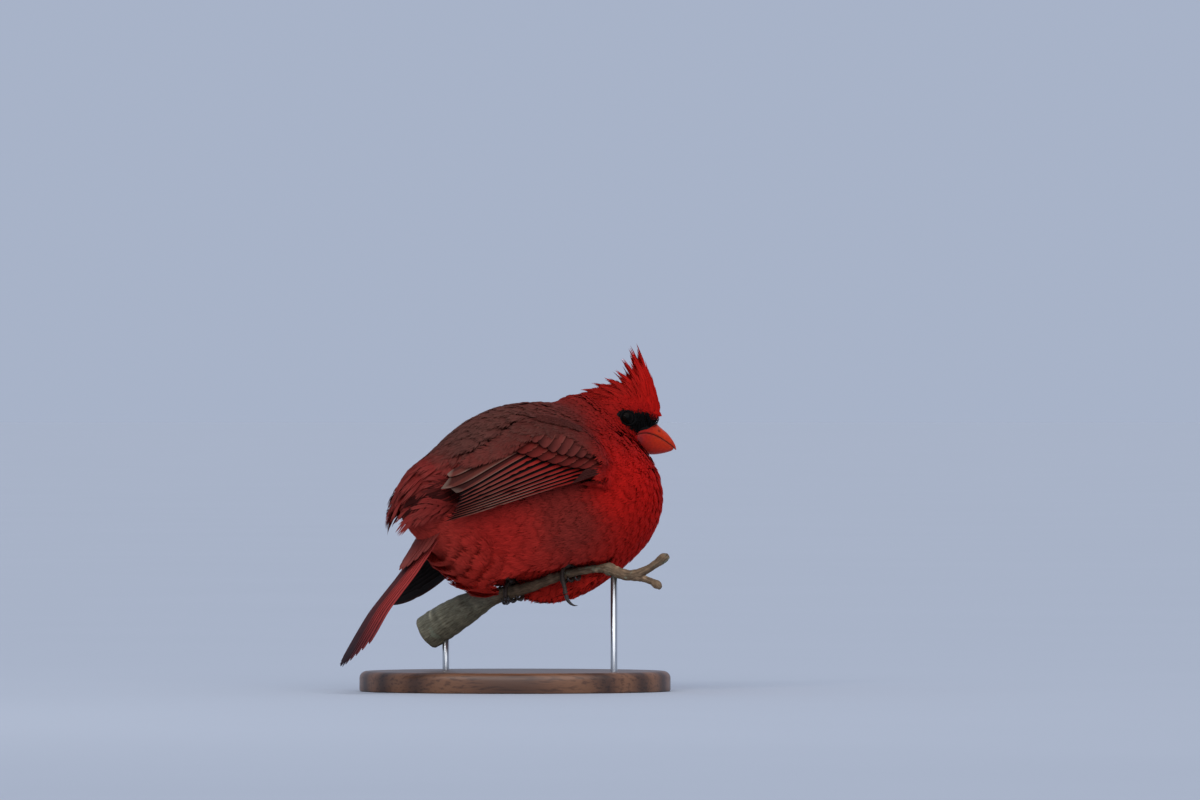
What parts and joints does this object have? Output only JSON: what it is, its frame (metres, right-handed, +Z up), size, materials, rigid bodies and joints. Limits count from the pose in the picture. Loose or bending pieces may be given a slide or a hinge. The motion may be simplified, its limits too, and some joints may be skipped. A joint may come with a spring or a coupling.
{
  "type": "northern cardinal model",
  "caption": "Life-size still model of a male northern cardinal, fluffed up on a short cut twig, held over a flat oval base by short rods.",
  "frame": {"origin": "middle of the oval base's underside, on the floor", "axes": "+Z up; +X towards the side that the bill points to, along the base's length; +Y across the base, away from the side that the picture shows"},
  "size_m": [0.1507, 0.1075, 0.1591],
  "materials": {
    "red_plumage": "soft feathers",
    "wing_vanes": "brown-red feather vanes",
    "tail_vanes": "dull red feather vanes",
    "bill_horn": "smooth horn",
    "eye": "wet gloss",
    "leg_skin": "small scales",
    "claw_horn": "dark horn",
    "bark": "olive-grey bark",
    "base_wood": "satin varnish",
    "rod_steel": "brushed"
  },
  "bodies": {
    "root": {"torso": "red_plumage", "neck": "red_plumage", "head": "red_plumage", "crest": "red_plumage", "bill_upper": "bill_horn", "bill_lower": "bill_horn", "eye_left": "eye", "eye_right": "eye", "wing_left": "wing_vanes", "wing_right": "wing_vanes", "tail": "tail_vanes", "tarsus_left": "leg_skin", "tarsus_right": "leg_skin", "foot_left": "leg_skin", "foot_right": "leg_skin", "claw_left_hind": "claw_horn", "claw_left_inner": "claw_horn", "claw_left_middle": "claw_horn", "claw_left_outer": "claw_horn", "claw_right_hind": "claw_horn", "claw_right_inner": "claw_horn", "claw_right_middle": "claw_horn", "claw_right_outer": "claw_horn", "perch": "bark", "stand_base": "base_wood", "stand_rod_front": "rod_steel", "stand_rod_rear": "rod_steel"}
  },
  "joints": []
}
